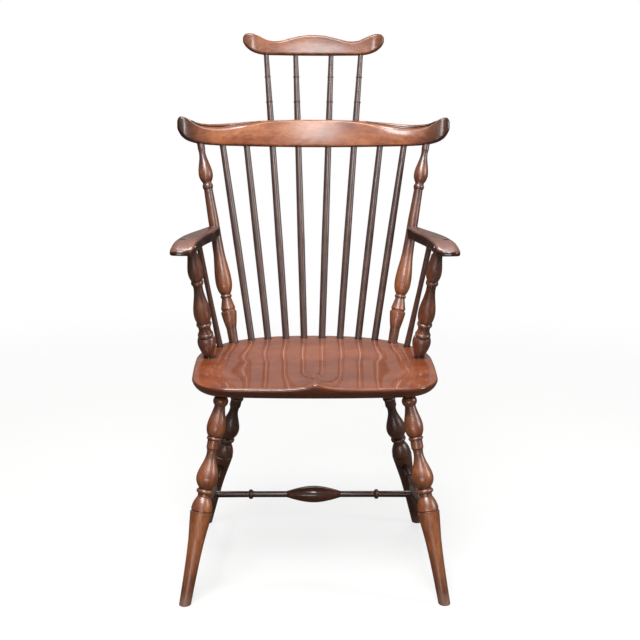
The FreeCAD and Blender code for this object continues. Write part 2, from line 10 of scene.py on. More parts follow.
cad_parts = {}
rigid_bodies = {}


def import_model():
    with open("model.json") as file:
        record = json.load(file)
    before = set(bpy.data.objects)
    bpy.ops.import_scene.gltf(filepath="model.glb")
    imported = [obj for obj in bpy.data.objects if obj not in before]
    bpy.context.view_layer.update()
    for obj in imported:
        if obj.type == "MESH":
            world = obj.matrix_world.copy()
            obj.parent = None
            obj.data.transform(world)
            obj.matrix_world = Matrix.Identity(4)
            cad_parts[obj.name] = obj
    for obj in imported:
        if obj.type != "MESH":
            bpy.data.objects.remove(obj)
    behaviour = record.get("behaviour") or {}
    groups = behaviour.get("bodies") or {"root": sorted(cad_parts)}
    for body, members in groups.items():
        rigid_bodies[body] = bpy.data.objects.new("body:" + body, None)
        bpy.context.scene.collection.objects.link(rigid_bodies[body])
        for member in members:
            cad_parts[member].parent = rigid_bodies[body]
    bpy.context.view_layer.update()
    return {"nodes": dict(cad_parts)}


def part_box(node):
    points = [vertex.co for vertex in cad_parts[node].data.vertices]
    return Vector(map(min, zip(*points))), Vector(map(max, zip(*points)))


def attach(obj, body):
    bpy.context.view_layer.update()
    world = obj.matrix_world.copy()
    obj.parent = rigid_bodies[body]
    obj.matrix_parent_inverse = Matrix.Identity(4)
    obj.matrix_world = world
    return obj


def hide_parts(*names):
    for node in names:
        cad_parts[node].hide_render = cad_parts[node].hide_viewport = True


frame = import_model()
nodes = frame["nodes"]
MM = 0.001

# The seat: boards of rock maple glued edge to edge, sawn to shape, saddled with a carving head and
# rounded under. It is stained red brown, wiped with a dark glaze that stays in the corners, where
# painted shade of the same colour is added, and finished in several coats of gloss lacquer, so that
# it mirrors the spindles behind it. Its edge and underside, which turn away from up, take painted shade.
SEAT_STAIN = ("#713119", "#8f4826", "#a65d31")
GLAZE_AND_SHADE = "#1c0a06"
SCUFFED_MAPLE = "#9a7a66"
LACQUER_IOR = 1.5
# Maple's growth rings stand 2 to 3 mm apart. Its fibres and rays are a tenth of a millimetre wide,
# which doesn't show, so they are drawn some 1.3 mm wide. The stain takes unevenly over a few
# centimetres and over some millimetres.
GROWTH_RING = 2.8 * MM
FIBRE_WIDTH = 1.3 * MM
FIBRE_LENGTH = 60 * MM
RAY_WIDTH = 0.8 * MM
RAY_LENGTH = 7 * MM
CLOUD = 38 * MM
MOTTLE = 8 * MM
# How far the rings, the fibres, the clouds and the mottle move the tone of the stain
TONE_SHARES = (-0.22, 0.75, 1.3, 0.9)
RAY_SHARE = 0.5
# How far from a corner the glaze and painted shade reach, how much of them lies in corners, how much
# glaze stays in thin necks, and how far a scuffed foot is worn
GLAZE_AND_SHADE_REACH = 8 * MM
CORNER_GLAZE_AND_SHADE = 0.94
NECK_GLAZE = 0.6
SCUFF_SHARE = 0.6


def linear(hex_colour):
    """An sRGB hex colour as linear numbers."""
    shares = [int(hex_colour[start:start + 2], 16) / 255 for start in (1, 3, 5)]
    values = [s / 12.92 if s <= 0.04045 else ((s + 0.055) / 1.055) ** 2.4 for s in shares]
    return (*values, 1.0)


def add_node(tree, kind, settings=None, links=None):
    """A new node with its settings, by property or input name or number, and its links."""
    node = tree.nodes.new(kind)
    for name, value in (settings or {}).items():
        if isinstance(name, str) and hasattr(node, name):
            setattr(node, name, value)
        else:
            node.inputs[name].default_value = value
    for name, source in (links or {}).items():
        tree.links.new(source, node.inputs[name])
    return node


def stained_maple(name, middle, along, stain, pith=(34, 12), bend=None, necks=None, foot=None,
                  sides=0.0, ends=None, gloss=0.1, glow=0.3, coat=1.0, waves=0.3, contrast=1.0):
    """Stained maple under gloss lacquer, its grain along one direction from the pith beside it.

    stain is its dark, middle and pale tone. bend is the radius that the piece is bent to. necks are
    two radii of a turned piece, between which the glaze in its necks fades out. foot is the height
    up to which a leg's end is scuffed. sides is the share of painted shade, in the glaze's colour, on
    the faces of a level board that turn away from up, and ends are two distances from the middle,
    between which painted shade in the glaze's colour grows to a share, the third. gloss is the
    roughness of the top coat, waves its unevenness, glow the sheen of the lacquer under it, and
    contrast how blotchy the stain is.
    """
    material = bpy.data.materials.new(name)
    material.use_nodes = True
    tree = material.node_tree
    tree.nodes.clear()
    turn = Vector(along).to_track_quat("Z", "Y").to_matrix().inverted()
    coords = add_node(tree, "ShaderNodeTexCoord")
    local = add_node(tree, "ShaderNodeMapping", {
        "Rotation": turn.to_euler(), "Location": turn @ -Vector(middle)},
        {"Vector": coords.outputs["Object"]})
    place = local.outputs["Vector"]
    # On a bent piece the grain follows the bend, so the place is unrolled along the arc
    if bend:
        parts = add_node(tree, "ShaderNodeSeparateXYZ", {}, {"Vector": place})
        outward = add_node(tree, "ShaderNodeMath", {"operation": "ADD", 1: bend},
                           {0: parts.outputs["Y"]})
        swing = add_node(tree, "ShaderNodeMath", {"operation": "ARCTAN2"}, {
            0: parts.outputs["Z"], 1: outward.outputs["Value"]})
        arc = add_node(tree, "ShaderNodeMath", {"operation": "MULTIPLY", 1: bend},
                       {0: swing.outputs["Value"]})
        flat = add_node(tree, "ShaderNodeCombineXYZ", {}, {
            "X": outward.outputs["Value"], "Y": parts.outputs["Z"]})
        reach = add_node(tree, "ShaderNodeVectorMath", {"operation": "LENGTH"},
                         {0: flat.outputs["Vector"]})
        depth = add_node(tree, "ShaderNodeMath", {"operation": "SUBTRACT", 1: bend},
                         {0: reach.outputs["Value"]})
        unbent = add_node(tree, "ShaderNodeCombineXYZ", {}, {
            "X": parts.outputs["X"], "Y": depth.outputs["Value"], "Z": arc.outputs["Value"]})
        place = unbent.outputs["Vector"]

    # The rings round the pith, the fibres along the grain, the two sizes of blotch and the rays. A
    # wave texture makes 20 / tau rings in a metre, and they drift slowly along the grain.
    ring_space = add_node(tree, "ShaderNodeMapping", {
        "Location": (pith[0] * MM, pith[1] * MM, 0), "Scale": (1, 1, 0.12)}, {"Vector": place})
    rings = add_node(tree, "ShaderNodeTexWave", {
        "wave_type": "RINGS", "rings_direction": "Z", "wave_profile": "SAW",
        "Scale": math.tau / 20 / GROWTH_RING, "Distortion": 5.0, "Detail": 2.0,
        "Detail Scale": 0.14}, {"Vector": ring_space.outputs["Vector"]})
    fibre_space = add_node(tree, "ShaderNodeMapping", {
        "Scale": (1 / FIBRE_WIDTH, 1 / FIBRE_WIDTH, 1 / FIBRE_LENGTH)}, {"Vector": place})
    fibres = add_node(tree, "ShaderNodeTexNoise", {"Scale": 1.0, "Detail": 3.0, "Roughness": 0.6},
                      {"Vector": fibre_space.outputs["Vector"]})
    cloud_space = add_node(tree, "ShaderNodeMapping", {
        "Scale": (1 / CLOUD, 1 / CLOUD, 0.5 / CLOUD)}, {"Vector": place})
    clouds = add_node(tree, "ShaderNodeTexNoise", {"Scale": 1.0, "Detail": 2.0},
                      {"Vector": cloud_space.outputs["Vector"]})
    mottle_space = add_node(tree, "ShaderNodeMapping", {
        "Scale": (1 / MOTTLE, 1 / MOTTLE, 0.45 / MOTTLE)}, {"Vector": place})
    mottle = add_node(tree, "ShaderNodeTexNoise", {"Scale": 1.0, "Detail": 2.0, "Roughness": 0.6},
                      {"Vector": mottle_space.outputs["Vector"]})
    ray_space = add_node(tree, "ShaderNodeMapping", {
        "Scale": (1 / RAY_WIDTH, 1 / RAY_WIDTH, 1 / RAY_LENGTH)}, {"Vector": place})
    rays = add_node(tree, "ShaderNodeTexNoise", {"Scale": 1.0, "Detail": 1.0},
                    {"Vector": ray_space.outputs["Vector"]})

    # Together they give the tone, whose mean is the middle stain, and the rays are the dark one
    before = {}
    for pattern, share in zip((rings, fibres, clouds, mottle), TONE_SHARES):
        step = add_node(tree, "ShaderNodeMath", {
            "operation": "MULTIPLY_ADD", 1: contrast * share, 2: 0.5 - contrast * sum(TONE_SHARES) / 2},
            {0: pattern.outputs["Fac"], **before})
        before = {2: step.outputs["Value"]}
    tone = step.outputs["Value"]
    colours = add_node(tree, "ShaderNodeValToRGB", {}, {"Fac": tone})
    stops = colours.color_ramp.elements
    stops[0].color = linear(stain[0])
    stops[1].color = linear(stain[2])
    stops.new(0.5).color = linear(stain[1])
    ray_share = add_node(tree, "ShaderNodeMapRange", {
        "From Min": 0.58, "From Max": 0.72, "To Max": RAY_SHARE}, {"Value": rays.outputs["Fac"]})
    rayed = add_node(tree, "ShaderNodeMix", {"data_type": "RGBA", 7: linear(stain[0])}, {
        0: ray_share.outputs["Result"], 6: colours.outputs["Color"]})

    # The dark glaze colour, laid on through masks: glaze and painted shade in the corners that the
    # occlusion finds, glaze in thin necks, and painted shade on faces that turn from up and towards the
    # ends
    # Glaze and painted shade: the occlusion darkens corners where shade falls
    corners = add_node(tree, "ShaderNodeAmbientOcclusion", {"samples": 6, "Distance": GLAZE_AND_SHADE_REACH})
    glaze_and_shade_masks = [add_node(tree, "ShaderNodeMapRange", {
        "From Min": 0.52, "From Max": 0.97, "To Min": CORNER_GLAZE_AND_SHADE, "To Max": 0.0},
        {"Value": corners.outputs["AO"]})]
    if necks:
        parts = add_node(tree, "ShaderNodeSeparateXYZ", {}, {"Vector": place})
        flat = add_node(tree, "ShaderNodeCombineXYZ", {}, {
            "X": parts.outputs["X"], "Y": parts.outputs["Y"]})
        radius = add_node(tree, "ShaderNodeVectorMath", {"operation": "LENGTH"},
                          {0: flat.outputs["Vector"]})
        glaze_and_shade_masks.append(add_node(tree, "ShaderNodeMapRange", {
            "From Min": necks[0] * MM, "From Max": necks[1] * MM, "To Min": NECK_GLAZE, "To Max": 0.0},
            {"Value": radius.outputs["Value"]}))
    # Painted shade: faces that turn away from up take the glaze's colour, up to the share sides
    if sides:
        facing = add_node(tree, "ShaderNodeSeparateXYZ", {}, {"Vector": coords.outputs["Normal"]})
        glaze_and_shade_masks.append(add_node(tree, "ShaderNodeMapRange", {
            "interpolation_type": "SMOOTHSTEP", "From Min": 0.93, "From Max": 0.35, "To Max": sides},
            {"Value": facing.outputs["Z"]}))
    # Painted shade: the glaze's colour grows towards the ends, between two distances from the middle
    if ends:
        parts = add_node(tree, "ShaderNodeSeparateXYZ", {}, {"Vector": place})
        from_middle = add_node(tree, "ShaderNodeMath", {"operation": "ABSOLUTE"},
                               {0: parts.outputs["Z"]})
        glaze_and_shade_masks.append(add_node(tree, "ShaderNodeMapRange", {
            "interpolation_type": "SMOOTHSTEP", "From Min": ends[0] * MM, "From Max": ends[1] * MM,
            "To Max": ends[2]}, {"Value": from_middle.outputs["Value"]}))
    glaze_and_shade_share = glaze_and_shade_masks[0].outputs["Result"]
    for glaze in glaze_and_shade_masks[1:]:
        glaze_and_shade_share = add_node(tree, "ShaderNodeMath", {"operation": "MAXIMUM"}, {
            0: glaze_and_shade_share, 1: glaze.outputs["Result"]}).outputs["Value"]
    glazed_and_shaded = add_node(tree, "ShaderNodeMix", {"data_type": "RGBA", 7: linear(GLAZE_AND_SHADE)}, {
        0: glaze_and_shade_share, 6: rayed.outputs[2]})
    colour = glazed_and_shaded.outputs[2]
    rough = add_node(tree, "ShaderNodeMapRange", {"To Min": 0.36, "To Max": 0.52},
                     {"Value": mottle.outputs["Fac"]}).outputs["Result"]
    # The foot of a leg is scuffed through the finish, up to a ragged line
    if foot:
        height = add_node(tree, "ShaderNodeSeparateXYZ", {}, {"Vector": coords.outputs["Object"]})
        ragged = add_node(tree, "ShaderNodeMath", {"operation": "MULTIPLY_ADD", 1: -1.2 * foot * MM},
                          {0: mottle.outputs["Fac"], 2: height.outputs["Z"]})
        scuff = add_node(tree, "ShaderNodeMapRange", {
            "From Min": -0.6 * foot * MM, "From Max": 0.4 * foot * MM,
            "To Min": SCUFF_SHARE, "To Max": 0.0}, {"Value": ragged.outputs["Value"]})
        scuffed = add_node(tree, "ShaderNodeMix", {"data_type": "RGBA", 7: linear(SCUFFED_MAPLE)}, {
            0: scuff.outputs["Result"], 6: colour})
        colour = scuffed.outputs[2]
        rough = add_node(tree, "ShaderNodeMath", {"operation": "MULTIPLY_ADD", 1: 0.3}, {
            0: scuff.outputs["Result"], 2: rough}).outputs["Value"]

    # The open grain roughens the lacquer next to the wood, and the top coat flows out in low waves
    grain_bump = add_node(tree, "ShaderNodeBump", {"Strength": 0.2, "Distance": 0.12 * MM},
                          {"Height": fibres.outputs["Fac"]})
    flow = add_node(tree, "ShaderNodeBump", {"Strength": waves, "Distance": 0.3 * MM},
                    {"Height": mottle.outputs["Fac"]})
    shader = add_node(tree, "ShaderNodeBsdfPrincipled", {
        "IOR": LACQUER_IOR, "Specular IOR Level": glow, "Coat Weight": coat, "Coat Roughness": gloss,
        "Coat IOR": LACQUER_IOR}, {
        "Base Color": colour, "Roughness": rough, "Normal": grain_bump.outputs["Normal"],
        "Coat Normal": flow.outputs["Normal"]})
    add_node(tree, "ShaderNodeOutputMaterial", {}, {"Surface": shader.outputs["BSDF"]})
    return material


def finish_with(piece, material):
    """Gives a piece its one material."""
    piece.data.materials.clear()
    piece.data.materials.append(material)


def skinned(name, rings):
    """A closed mesh over rings of points given in millimetres, from the first ring to the last."""
    count = len(rings[0])
    points = [tuple(value * MM for value in point) for ring in rings for point in ring]
    faces = []
    for start in range(0, count * (len(rings) - 1), count):
        for step in range(count):
            after = (step + 1) % count
            faces.append((start + step, start + after, start + count + after, start + count + step))
    for start in (0, count * (len(rings) - 1)):
        points.append(tuple(np.mean(points[start:start + count], axis=0)))
        faces += [(start + step, start + (step + 1) % count, len(points) - 1) for step in range(count)]
    mesh = bpy.data.meshes.new(name)
    mesh.from_pydata(points, [], faces)
    whole = bmesh.new()
    whole.from_mesh(mesh)
    bmesh.ops.recalc_face_normals(whole, faces=whole.faces)
    whole.to_mesh(mesh)
    whole.free()
    mesh.shade_smooth()
    piece = bpy.data.objects.new(name, mesh)
    bpy.context.scene.collection.objects.link(piece)
    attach(piece, "root")
    return piece


# The sizes of the seat in millimetres: its plan is arcs and two straight sides, measured back from
# the front edge, and its top is carved in two scoops that meet in a ridge at the middle of the front
SEAT_FRONT_Y = -254.1
SEAT_TOP = 447.0
SEAT_THICKNESS = 35.5
SEAT_HALF_WIDTH = 245.5
SEAT_DEPTH = 419.0
FRONT_ARC = 1800.0
CORNER_R = 80.0
SHOULDER_R = 205.0
BACK_ARC = 480.0
TOP_ROUND = 5.0
UNDER_ROUND = 30.0
SADDLE_DEPTH = 13.0
SADDLE_BACK = 352.0
SADDLE_DEEPEST = 215.0
SADDLE_MARGIN = 20.0
SADDLE_SLOPE = 105.0
SADDLE_FRONT_SHARE = 0.86
SADDLE_FRONT_RUN = 190.0
POMMEL_WIDTH = 24.0
POMMEL_TIP = 3.5
POMMEL_LENGTH = 160.0
PLAN_STEP = 2.3
# The rings of the mesh: round the underside, over the edge, in to the rim, and on to the middle
UNDER_STEPS = 12
EDGE_STEPS = 8
RIM_STEPS = 22
INNER_STEPS = 42
RIM_INSET = 60.0


def seat_plan():
    """Points along the seat's edge, all the way round, and the outward direction at each."""
    corner_x = SEAT_HALF_WIDTH - CORNER_R
    lean = math.asin(corner_x / (FRONT_ARC - CORNER_R))
    corner_y = FRONT_ARC - (FRONT_ARC - CORNER_R) * math.cos(lean)
    shoulder_x = SEAT_HALF_WIDTH - SHOULDER_R
    turn = math.asin(shoulder_x / (BACK_ARC - SHOULDER_R))
    shoulder_y = SEAT_DEPTH - BACK_ARC + (BACK_ARC - SHOULDER_R) * math.cos(turn)
    quarter = math.pi / 2
    half = []
    for middle_x, middle_y, radius, start, end in (
            (0, FRONT_ARC, FRONT_ARC, -quarter, lean - quarter),
            (corner_x, corner_y, CORNER_R, lean - quarter, 0),
            (corner_x, 0, CORNER_R, corner_y, shoulder_y),
            (shoulder_x, shoulder_y, SHOULDER_R, 0, quarter - turn),
            (0, SEAT_DEPTH - BACK_ARC, BACK_ARC, quarter - turn, quarter)):
        straight = middle_y == 0
        steps = round((end - start) * (1 if straight else radius) / PLAN_STEP)
        for step in range(steps):
            where = start + (end - start) * step / steps
            if straight:
                half.append((SEAT_HALF_WIDTH, where, 1.0, 0.0))
            else:
                out_x, out_y = math.cos(where), math.sin(where)
                half.append((middle_x + radius * out_x, middle_y + radius * out_y, out_x, out_y))
    back = (0.0, SEAT_DEPTH, 0.0, 1.0)
    left = [(-x, y, -out_x, out_y) for x, y, out_x, out_y in reversed(half[1:])]
    return np.array(half + [back] + left)


def smooth_step(value):
    """From 0 to 1 without a kink at either end."""
    value = np.clip(value, 0, 1)
    return value ** 3 * (value * (6 * value - 15) + 10)


def saddle_drop(x, depth):
    """How deep the scoops are carved at a place on the seat."""
    across = smooth_step((SEAT_HALF_WIDTH - SADDLE_MARGIN - abs(x)) / SADDLE_SLOPE)
    across += (1 - across) * smooth_step((SADDLE_FRONT_RUN - depth) / SADDLE_FRONT_RUN)
    behind = smooth_step((SADDLE_BACK - depth) / (SADDLE_BACK - SADDLE_DEEPEST))
    ahead = 1 - (1 - SADDLE_FRONT_SHARE) * smooth_step((SADDLE_DEEPEST - depth) / SADDLE_DEEPEST)
    ridge = np.exp((POMMEL_TIP - np.sqrt(x ** 2 + POMMEL_TIP ** 2)) / POMMEL_WIDTH)
    pommel = ridge * smooth_step((POMMEL_LENGTH - depth) / POMMEL_LENGTH)
    return SADDLE_DEPTH * across * np.where(depth > SADDLE_DEEPEST, behind, ahead) * (1 - pommel)


def seat_ring(plan, inset, height):
    """The plan moved in from the edge, at a height above the underside, or on the carved top."""
    x = plan[:, 0] - inset * plan[:, 2]
    depth = plan[:, 1] - inset * plan[:, 3]
    if height is None:
        height = SEAT_THICKNESS - saddle_drop(x, depth)
    return np.stack([x, depth + SEAT_FRONT_Y, height + SEAT_TOP - SEAT_THICKNESS + 0 * x], 1)


# The small round of the top edge lies inside the large one of the underside and touches it. It sits
# further in where the top is carved lower there, which a few trials settle.
plan = seat_plan()
top_inset = np.full(len(plan), TOP_ROUND)
for trial in range(4):
    rim = seat_ring(plan, top_inset, None)[:, 2] - SEAT_TOP + SEAT_THICKNESS
    fall = UNDER_ROUND + TOP_ROUND - rim
    top_inset = UNDER_ROUND - np.sqrt((UNDER_ROUND - TOP_ROUND) ** 2 - fall ** 2)
meet = np.arctan2(-fall, top_inset - UNDER_ROUND)
meet = np.where(meet > 0, meet - math.tau, meet)
seat_rings = []
for step in range(UNDER_STEPS + 1):
    angle = -math.pi / 2 + (meet + math.pi / 2) * step / UNDER_STEPS
    seat_rings.append(seat_ring(plan, UNDER_ROUND + UNDER_ROUND * np.cos(angle),
                                UNDER_ROUND + UNDER_ROUND * np.sin(angle)))
for step in range(1, EDGE_STEPS + 1):
    angle = meet + (-1.5 * math.pi - meet) * step / EDGE_STEPS
    seat_rings.append(seat_ring(plan, top_inset + TOP_ROUND * np.cos(angle),
                                rim - TOP_ROUND + TOP_ROUND * np.sin(angle)))
for step in range(1, RIM_STEPS + 1):
    seat_rings.append(seat_ring(plan, top_inset + (RIM_INSET - top_inset) * step / RIM_STEPS, None))
inner = seat_ring(plan, RIM_INSET, None)
seat_middle_y = SEAT_FRONT_Y + SEAT_DEPTH / 2
for step in range(1, INNER_STEPS):
    share = 1 - step / INNER_STEPS
    x = inner[:, 0] * share
    y = seat_middle_y + (inner[:, 1] - seat_middle_y) * share
    seat_rings.append(np.stack([x, y, SEAT_TOP - saddle_drop(x, y - SEAT_FRONT_Y)], 1))
carved_seat = skinned("carved_seat", seat_rings)
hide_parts("seat")
# Painted shade on the seat's faces that turn away from up: its edge and its underside
finish_with(carved_seat, stained_maple(
    "lacquered_maple_seat", (0, 0, SEAT_TOP * MM), (1, 0, 0), SEAT_STAIN, pith=(-60, 12), sides=0.62,
    gloss=0.05, waves=0.1, contrast=0.8))

# The legs: maple turned between centres, each with a tenon glued up into the seat. The glaze is
# dark in the necks and rubbed off the swellings, painted shade darkens the grooves with it, and the
# feet are scuffed pale.
LEG_STAIN = ("#6d3416", "#8a4a25", "#a86436")
# The rear legs take a darker copy of the leg stain: painted shade under the seat
SHADED_REAR_LEG_STAIN = ("#45200f", "#5c301a", "#764427")
LEG_NECKS = (10, 15)
FOOT_SCUFF = 32


def axis_of(node):
    """The middle of a long CAD node and the direction in which it is longest, pointing up."""
    points = np.empty(len(node.data.vertices) * 3)
    node.data.vertices.foreach_get("co", points)
    points = points.reshape(-1, 3)
    middle = points.mean(0)
    along = np.linalg.svd(points - middle, full_matrices=False)[2][0]
    return Vector(middle), Vector(along if along[2] >= 0 else -along)


for name, stain, pith in (
        ("left_front_leg", LEG_STAIN, (26, -18)), ("left_rear_leg", SHADED_REAR_LEG_STAIN, (35, -18)),
        ("right_front_leg", LEG_STAIN, (-22, 24)), ("right_rear_leg", SHADED_REAR_LEG_STAIN, (-22, 30))):
    middle, along = axis_of(nodes[name])
    finish_with(nodes[name], stained_maple(
        "lacquered_maple_" + name, middle, along, stain, pith, necks=LEG_NECKS, foot=FOOT_SCUFF,
        gloss=0.27, glow=0.9, waves=0.1, contrast=1.4))

# The stretchers: slender maple turnings with a swell in the middle. The side ones join front and
# rear legs, and the one between them is glued into their swells. Their stain is a darker copy, as
# painted shade under the seat.
SHADED_STRETCHER_STAIN = ("#351a10", "#4f2a19", "#6b3c25")
STRETCHER_NECKS = (6, 9)
for name in ("left_side_stretcher", "right_side_stretcher", "medial_stretcher"):
    middle, along = axis_of(nodes[name])
    finish_with(nodes[name], stained_maple(
        "lacquered_maple_" + name, middle, along, SHADED_STRETCHER_STAIN, necks=STRETCHER_NECKS, gloss=0.16,
        waves=0.15))

# The spindles: thin maple rods, fattest at half their length, glued in the seat and the crest
# rail. The four middle ones go on through the crest rail to the comb.
SPINDLE_STAIN = ("#34201a", "#492e26", "#624338")
SPINDLES = ("long_spindle_1", "long_spindle_2", "short_spindle_1", "short_spindle_2", "arm_spindle")
for side in ("left_", "right_"):
    for count, name in enumerate(SPINDLES):
        middle, along = axis_of(nodes[side + name])
        pith = (18 + 5 * count, 11 - 4 * count) if side == "left_" else (-15 - 6 * count, 14 - 5 * count)
        finish_with(nodes[side + name], stained_maple(
            "lacquered_maple_" + side + name, middle, along, SPINDLE_STAIN, pith, gloss=0.18,
            glow=1.0, waves=0.1))

# The posts: the back posts carry the crest rail and the arms, the arm posts stand under the arms'
# front ends. Both are turned in vases and rings, with glaze and painted shade in every groove.
POST_STAIN = ("#5f2e1a", "#7d4427", "#9c5c36")
ARM_POST_STAIN = ("#4a2314", "#62341f", "#7c4a2c")
POST_NECKS = (9, 14)
for name, stain, pith in (
        ("left_back_post", POST_STAIN, (21, 15)), ("left_arm_post", ARM_POST_STAIN, (29, 15)),
        ("right_back_post", POST_STAIN, (-24, 12)), ("right_arm_post", ARM_POST_STAIN, (-24, -18))):
    middle, along = axis_of(nodes[name])
    finish_with(nodes[name], stained_maple(
        "lacquered_maple_" + name, middle, along, stain, pith, necks=POST_NECKS, gloss=0.26, glow=0.9,
        waves=0.1, contrast=1.4))

# The crest rail and the comb: maple steamed and bent, their grain following the bend. A cutter has
# run a hollow along the front of the top, which fades out towards the middle and the ears, and the
# ears are rounded by hand. The ears are darker than the middle by painted shade in the glaze's colour.
CREST_STAIN = ("#783d20", "#985531", "#b27048")
COMB_STAIN = ("#66351f", "#81482d", "#99603f")
# The middle of the lower edge of each, and the radius to which it is bent
CREST_PLACE = (0, 223.61, 862.23)
CREST_BEND = 725.0
COMB_PLACE = (0, 262.25, 1061.01)
COMB_BEND = 849.7
BACK_RAKE = math.radians(11)
BOARD_ROUND = 5.0
END_ROUND = 3.0
# The sections of the mesh crowd towards the ends, by this power of the distance
BOARD_SECTIONS = 170
CROWDING = 1.7
END_STEPS = 8
CORNER_STEPS = 6
CUT_STEPS = 12
# The cut along the front of the top, from the front face to the back, as shares of its size: plain
# and rounded, or a sloping hollow of as many points that ends at a small raised ledge
ROUNDED_CUT = [(1 - math.cos(math.pi / 2 * step / CUT_STEPS), math.sin(math.pi / 2 * step / CUT_STEPS))
               for step in range(CUT_STEPS + 1)]
HOLLOW_CUT = ((0.0, 0.0), (0.04, 0.06), (0.14, 0.10), (0.3, 0.17), (0.46, 0.26), (0.6, 0.36),
              (0.68, 0.43), (0.73, 0.52), (0.76, 0.66), (0.79, 0.82), (0.84, 0.93), (0.91, 0.985),
              (1.0, 1.0))
# The point of the hollow at the foot of its ledge, where a line of painted shade is drawn, and the
# share of hollow from which there is one
LEDGE_FOOT = 8
LEDGE_FROM = 0.3
# Distance from the middle, lower edge, upper edge, thickness, size of the cut and share of hollow
CREST_STATIONS = (
    (0, 0, 60, 24, 6.5, 0), (60, 0, 59.2, 24, 6.5, 0), (112, 0, 57, 24, 9, 0.25),
    (165, 0, 52, 24, 15.5, 0.85), (212, 0, 47, 24, 17, 1), (248, 1.8, 46.8, 24, 13, 0.9),
    (270, 7, 52.5, 23.6, 9, 0.25), (283, 14.5, 58.2, 19.4, 7, 0), (290.5, 23.5, 57.8, 13.2, 5, 0),
    (295.5, 33, 51, 6.5, 2.5, 0))
COMB_STATIONS = (
    (0, 0, 45, 20, 6, 0), (26, 0, 43, 20, 6, 0), (52, 0, 37, 20, 6, 0), (78, 0, 31, 20, 6.5, 0.2),
    (99, 0, 32, 20, 6.5, 0.2), (119, 1.8, 39.8, 20, 6, 0), (136, 7.5, 45.6, 19.4, 6, 0),
    (148.5, 16.5, 44.8, 13.8, 5, 0), (155.5, 26, 38.5, 6, 2.5, 0))


def station_between(stations, distance):
    """The sizes at a distance from the middle, on smooth curves through the stations."""
    rows = [tuple([-stations[1][0]] + list(stations[1][1:]))] + list(stations)
    for index in range(1, len(rows) - 1):
        if distance <= rows[index + 1][0]:
            break
    before, here, there = (np.array(row, float) for row in rows[index - 1:index + 2])
    after = np.array(rows[min(index + 2, len(rows) - 1)], float)
    span = there[0] - here[0]
    slope_here = (there - before) / (there[0] - before[0])
    slope_there = (after - here) / (after[0] - here[0])
    t = (distance - here[0]) / span
    return ((2 * t ** 3 - 3 * t ** 2 + 1) * here + (t ** 3 - 2 * t ** 2 + t) * span * slope_here
            + (3 * t ** 2 - 2 * t ** 3) * there + (t ** 3 - t ** 2) * span * slope_there)


def board_section(station, from_end):
    """The section of a board by its station's sizes, drawn in where its end is rounded over."""
    _, low, high, thickness, cut, hollow = station
    half = thickness / 2
    # Where the ears thin out, the rounds of the edges shrink with them
    edge = min(BOARD_ROUND, 0.4 * thickness, 0.4 * (high - low))
    cut = max(edge, min(cut, thickness - edge - 1))
    shares = [(a[0] + hollow * (b[0] - a[0]), a[1] + hollow * (b[1] - a[1]))
              for a, b in zip(ROUNDED_CUT, HOLLOW_CUT)]
    section = [(-half + cut * u, high - cut + cut * v) for u, v in shares]
    for corner_x, corner_z, turn in ((half - edge, high - edge, 0.25), (half - edge, low + edge, 0),
                                     (edge - half, low + edge, -0.25)):
        for step in range(CORNER_STEPS + 1):
            angle = math.tau * (turn - 0.25 * step / CORNER_STEPS)
            section.append((corner_x + edge * math.cos(angle), corner_z + edge * math.sin(angle)))
    if from_end < END_ROUND:
        inset = END_ROUND - math.sqrt(END_ROUND ** 2 - (END_ROUND - from_end) ** 2)
        middle = (low + high) / 2
        across, upright = 1 - inset / half, 1 - 2 * inset / (high - low)
        section = [(through * across, middle + (rise - middle) * upright) for through, rise in section]
    return section


def moulded_board(name, centre, bend, stations):
    """A bent board with its moulded top, closed at the ends, and the lines of painted shade at the foot
    of its ledge.
    """
    last = stations[-1][0]
    distances = [last * (1 - (1 - step / BOARD_SECTIONS) ** CROWDING) for step in range(BOARD_SECTIONS)]
    distances += [last - END_ROUND * (1 - math.sin(math.pi / 2 * step / END_STEPS))
                  for step in range(END_STEPS + 1)]
    distances = sorted({round(distance, 3) for distance in distances})
    place = Matrix.Translation(centre) @ Matrix.Rotation(-BACK_RAKE, 4, "X")
    rows = []
    left_shade_line, right_shade_line = [], []
    for distance in [-d for d in reversed(distances[1:])] + distances:
        station = station_between(stations, abs(distance))
        lean = math.asin(distance / bend)
        back = math.sqrt(bend ** 2 - distance ** 2) - bend
        rows.append([place @ Vector((distance + through * math.sin(lean),
                                     back + through * math.cos(lean), rise))
                     for through, rise in board_section(station, last - abs(distance))])
        # The foot of the ledge is kept, where a line of painted shade goes
        if station[-1] > LEDGE_FROM:
            (left_shade_line if distance < 0 else right_shade_line).append(rows[-1][LEDGE_FOOT] * MM)
    return skinned(name, rows), [left_shade_line, right_shade_line]


ledge_shade_lines = []
# Each with the distances from the middle between which painted shade darkens its ears, and its share
for node, centre, bend, stations, stain, ends in (
        ("crest_rail", CREST_PLACE, CREST_BEND, CREST_STATIONS, CREST_STAIN, (195, 275, 0.9)),
        ("comb", COMB_PLACE, COMB_BEND, COMB_STATIONS, COMB_STAIN, (112, 158, 0.5))):
    piece, board_shade_lines = moulded_board("moulded_" + node, centre, bend, stations)
    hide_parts(node)
    ledge_shade_lines += [line for line in board_shade_lines if line]
    low, high = (Vector(corner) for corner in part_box(node))
    middle = Vector((0, high.y, (low.z + high.z) / 2))
    finish_with(piece, stained_maple(
        "lacquered_maple_" + node, middle, (1, 0, 0), stain, (9, 70), bend=bend * MM, ends=ends,
        gloss=0.19, waves=0.15, contrast=1.6))

